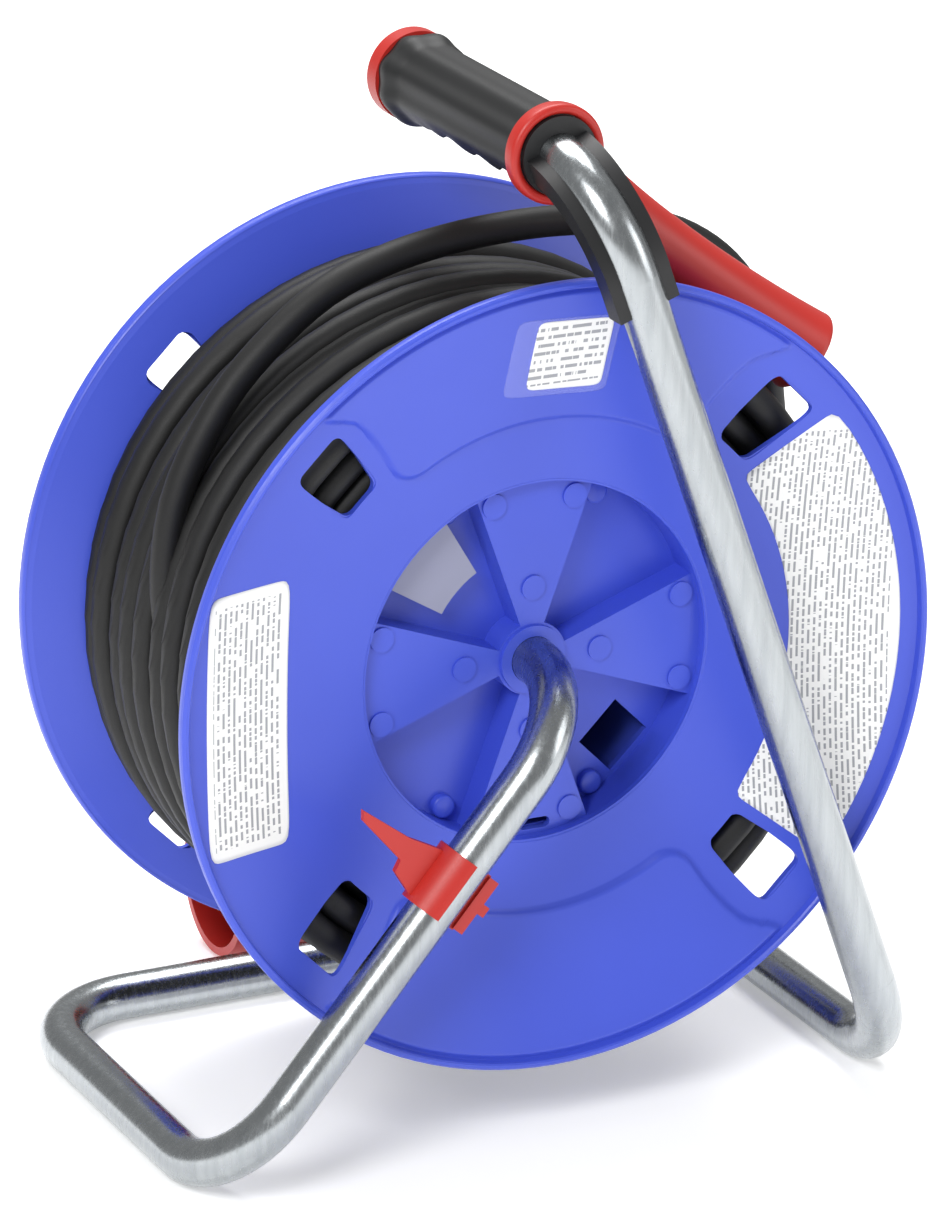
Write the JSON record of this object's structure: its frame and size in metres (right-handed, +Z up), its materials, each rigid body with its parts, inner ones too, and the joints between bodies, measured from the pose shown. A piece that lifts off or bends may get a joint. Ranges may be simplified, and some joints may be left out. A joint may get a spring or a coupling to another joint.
{
  "type": "extension_cord_reel",
  "caption": "Cable reel with a blue moulded drum on a bent steel tube stand, red and black carrying grip with cable guide, and socket panel in the rear hub",
  "frame": {"origin": "Centre of the reel's own box in X and Y, on the ground in Z; the free cable and its plug are left out of that box.", "axes": "+Z up; -Y is the side the picture faces, with the plain hub, leg and post; +Y is the side with the sockets and the winding knob; +X is to the right of the plain side."},
  "size_m": [0.3075, 0.2552, 0.3743],
  "materials": {
    "drum_blue": "injection moulded polypropylene, satin gloss",
    "bush_blue": "self-lubricating plastic",
    "tube_steel": "galvanised welded tube",
    "screw_steel": "zinc plated",
    "contact_brass": "stamped and turned brass",
    "socket_black": "moulded polyamide",
    "grip_soft": "soft thermoplastic elastomer",
    "accent_red": "satin moulded plastic",
    "cable_rubber": "rubber jacket",
    "label_paper": "vinyl film label",
    "label_clear": "clear film, drawn as a thin skin",
    "cover_grey": "moulded plastic",
    "relief_white": "moulded polyamide",
    "lead_green": "wire insulation",
    "spring_steel": "drawn spring wire"
  },
  "bodies": {
    "frame": {"frame_tube": "tube_steel", "axle_end_plug": "socket_black", "axle_washer": "screw_steel", "axle_circlip": "spring_steel", "grip_core": "accent_red", "grip_sleeve": "grip_soft", "grip_end_cap": "socket_black", "grip_saddle": "socket_black", "cable_guide": "accent_red", "cable_tail": "cable_rubber", "plug_nut": "socket_black", "plug_body": "socket_black", "plug_collar": "accent_red", "plug_pins": "contact_brass"},
    "drum": {"front_bush": "bush_blue", "rear_bush": "bush_blue", "drum_front": "drum_blue", "drum_rear": "drum_blue", "drum_screws": "screw_steel", "hub_cover_plate": "cover_grey", "socket_panel": "socket_black", "panel_screws": "screw_steel", "socket_left": "socket_black", "socket_right": "socket_black", "earth_clips": "contact_brass", "lid_pins": "screw_steel", "lid_springs": "spring_steel", "phase_socket": "socket_black", "phase_contacts": "contact_brass", "phase_lid_pin": "screw_steel", "phase_lid_spring": "spring_steel", "cutout_body": "socket_black", "cutout_spring": "spring_steel", "cutout_nut": "socket_black", "strain_relief": "relief_white", "strain_screws": "screw_steel", "terminal_block": "relief_white", "inner_leads": "lead_green", "knob_pin": "screw_steel", "label_left": "label_paper", "label_right": "label_paper", "label_film": "label_clear", "label_top": "label_paper", "cable_winding": "cable_rubber", "cable_inner_end": "cable_rubber"},
    "lid_left": {"lid_left": "socket_black"},
    "lid_right": {"lid_right": "socket_black"},
    "phase_lid": {"phase_lid": "accent_red"},
    "reset_button": {"cutout_button": "accent_red"},
    "knob": {"knob": "socket_black", "knob_cap": "socket_black"},
    "plug_clip": {"plug_clip": "accent_red"}
  },
  "joints": [
    {"name": "drum_spin", "type": "hinge", "parent": "frame", "child": "drum", "pos_m": [0.0005, -0.00133, 0.171], "axis": [0, 1, 0], "continuous": true},
    {"name": "knob_spin", "type": "hinge", "parent": "drum", "child": "knob", "pos_m": [0.0885, 0.07982, 0.171], "axis": [0, 1, 0], "continuous": true},
    {"name": "lid_left_hinge", "type": "hinge", "parent": "drum", "child": "lid_left", "pos_m": [-0.03414, 0.05042, 0.2171], "axis": [1, 0, 0], "range_deg": [0, 110], "stiffness_Nm_per_rad": 0.02, "springref_deg": -28.65},
    {"name": "lid_right_hinge", "type": "hinge", "parent": "drum", "child": "lid_right", "pos_m": [0.03514, 0.05042, 0.2171], "axis": [1, 0, 0], "range_deg": [0, 110], "stiffness_Nm_per_rad": 0.02, "springref_deg": -28.65},
    {"name": "phase_lid_hinge", "type": "hinge", "parent": "drum", "child": "phase_lid", "pos_m": [0.0005, 0.07682, 0.1698], "axis": [1, 0, 0], "range_deg": [0, 110], "stiffness_Nm_per_rad": 0.04, "springref_deg": -28.65},
    {"name": "reset_press", "type": "slide", "parent": "drum", "child": "reset_button", "axis": [0, -1, 0], "range_m": [0, 0.003], "stiffness_N_per_m": 400, "springref_m": -0.0005},
    {"name": "clip_swivel", "type": "hinge", "parent": "frame", "child": "plug_clip", "pos_m": [-0.05182, -0.09108, 0.10917], "axis": [-0.6459, 0, -0.7634], "range_deg": [-60, 35]}
  ]
}
